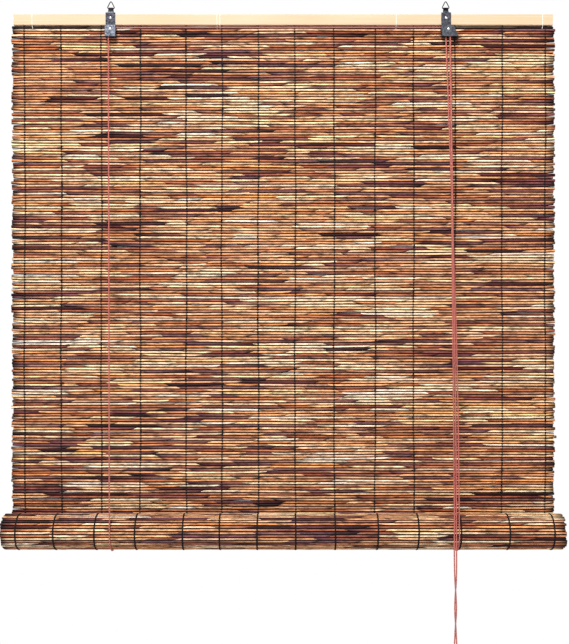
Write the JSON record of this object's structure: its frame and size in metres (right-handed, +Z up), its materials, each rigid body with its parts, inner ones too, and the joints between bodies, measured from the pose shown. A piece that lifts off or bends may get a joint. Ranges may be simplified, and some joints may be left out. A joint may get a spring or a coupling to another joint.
{
  "type": "bamboo roller blind",
  "caption": "Roll-up window blind of stained reeds on black warp threads, hung from a wooden batten by two rings, with two lift cords, pulleys and a cord lock.",
  "frame": {"origin": "on the line through the two hanging rings' bearing points, above the middle of the head rail", "axes": "+X along the head rail to the right seen from the room, -Y towards the room, +Z up"},
  "size_m": [1.008, 0.0859, 1.2324],
  "materials": {
    "rail_wood": "planed, clear satin",
    "rod_wood": "turned, bare",
    "reed": "smoked reed, natural gloss",
    "warp_thread": "twisted thread",
    "tie_string": "twisted string",
    "cord": "braided",
    "dark_steel": "dark plated sheet",
    "zinc": "bright zinc plated sheet",
    "ring_steel": "bent wire",
    "pulley_steel": "turned",
    "rivet": "nickel plated"
  },
  "bodies": {
    "root": {"head_rail": "rail_wood", "left_axle_rivet": "rivet", "left_cover": "zinc", "left_lift_cord": "cord", "left_pull_cord": "cord", "left_rail_rivet": "rivet", "left_strap": "dark_steel", "lock_cover": "dark_steel", "rail_tie_1": "tie_string", "rail_tie_2": "tie_string", "rail_tie_3": "tie_string", "rail_tie_4": "tie_string", "reed_mat": "reed", "right_axle_rivet": "rivet", "right_lift_cord": "cord", "right_pull_cord": "cord", "right_rail_rivet": "rivet", "right_strap": "dark_steel", "warp_thread_01": "warp_thread", "warp_thread_02": "warp_thread", "warp_thread_03": "warp_thread", "warp_thread_04": "warp_thread", "warp_thread_05": "warp_thread", "warp_thread_06": "warp_thread", "warp_thread_07": "warp_thread", "warp_thread_08": "warp_thread", "warp_thread_09": "warp_thread", "warp_thread_10": "warp_thread", "warp_thread_11": "warp_thread", "warp_thread_12": "warp_thread", "warp_thread_13": "warp_thread", "warp_thread_14": "warp_thread"},
    "left_hanger": {"left_ring": "ring_steel"},
    "right_hanger": {"right_ring": "ring_steel"},
    "left_wheel": {"left_pulley": "pulley_steel"},
    "right_wheel": {"right_pulley": "pulley_steel"},
    "roller": {"lock_roller": "pulley_steel"},
    "rod": {"bottom_rod": "rod_wood", "pull_cord_coil": "cord", "coil_tie": "cord"},
    "roll": {"mat_roll": "reed", "roll_thread_01": "warp_thread", "roll_thread_02": "warp_thread", "roll_thread_03": "warp_thread", "roll_thread_04": "warp_thread", "roll_thread_05": "warp_thread", "roll_thread_06": "warp_thread", "roll_thread_07": "warp_thread", "roll_thread_08": "warp_thread", "roll_thread_09": "warp_thread", "roll_thread_10": "warp_thread", "roll_thread_11": "warp_thread", "roll_thread_12": "warp_thread", "roll_thread_13": "warp_thread", "roll_thread_14": "warp_thread"}
  },
  "joints": [
    {"name": "left_ring_swing", "type": "hinge", "parent": "root", "child": "left_hanger", "pos_m": [-0.3203, 0, -0.012], "axis": [1, 0, 0], "range_deg": [-90, 90]},
    {"name": "right_ring_swing", "type": "hinge", "parent": "root", "child": "right_hanger", "pos_m": [0.3019, 0, -0.012], "axis": [1, 0, 0], "range_deg": [-90, 90]},
    {"name": "left_pulley_spin", "type": "hinge", "parent": "root", "child": "left_wheel", "pos_m": [-0.3193, -0.0096, -0.054], "axis": [0, 1, 0], "continuous": true},
    {"name": "right_pulley_spin", "type": "hinge", "parent": "root", "child": "right_wheel", "pos_m": [0.3045, -0.0096, -0.054], "axis": [0, 1, 0], "continuous": true},
    {"name": "lock_roller_slide", "type": "slide", "parent": "root", "child": "roller", "axis": [0.4088, 0, -0.9126], "range_m": [0, 0.005]},
    {"name": "roll_lift", "type": "slide", "parent": "root", "child": "rod", "axis": [0, 0, 1], "range_m": [0, 0.85], "deforming": ["reed_mat", "warp_thread_01", "warp_thread_02", "warp_thread_03", "warp_thread_04", "warp_thread_05", "warp_thread_06", "warp_thread_07", "warp_thread_08", "warp_thread_09", "warp_thread_10", "warp_thread_11", "warp_thread_12", "warp_thread_13", "warp_thread_14", "left_lift_cord", "right_lift_cord", "left_pull_cord", "right_pull_cord"]},
    {"name": "roll_spin", "type": "hinge", "parent": "rod", "child": "roll", "pos_m": [0, -0.03135, -0.97466], "axis": [1, 0, 0], "range_deg": [-1560, 0]}
  ],
  "couplings": [
    {"joint": "roll_spin", "follows": "roll_lift", "rad_per_m": -31.898},
    {"joint": "left_pulley_spin", "follows": "roll_lift", "rad_per_m": 526.32},
    {"joint": "right_pulley_spin", "follows": "roll_lift", "rad_per_m": 526.32}
  ]
}
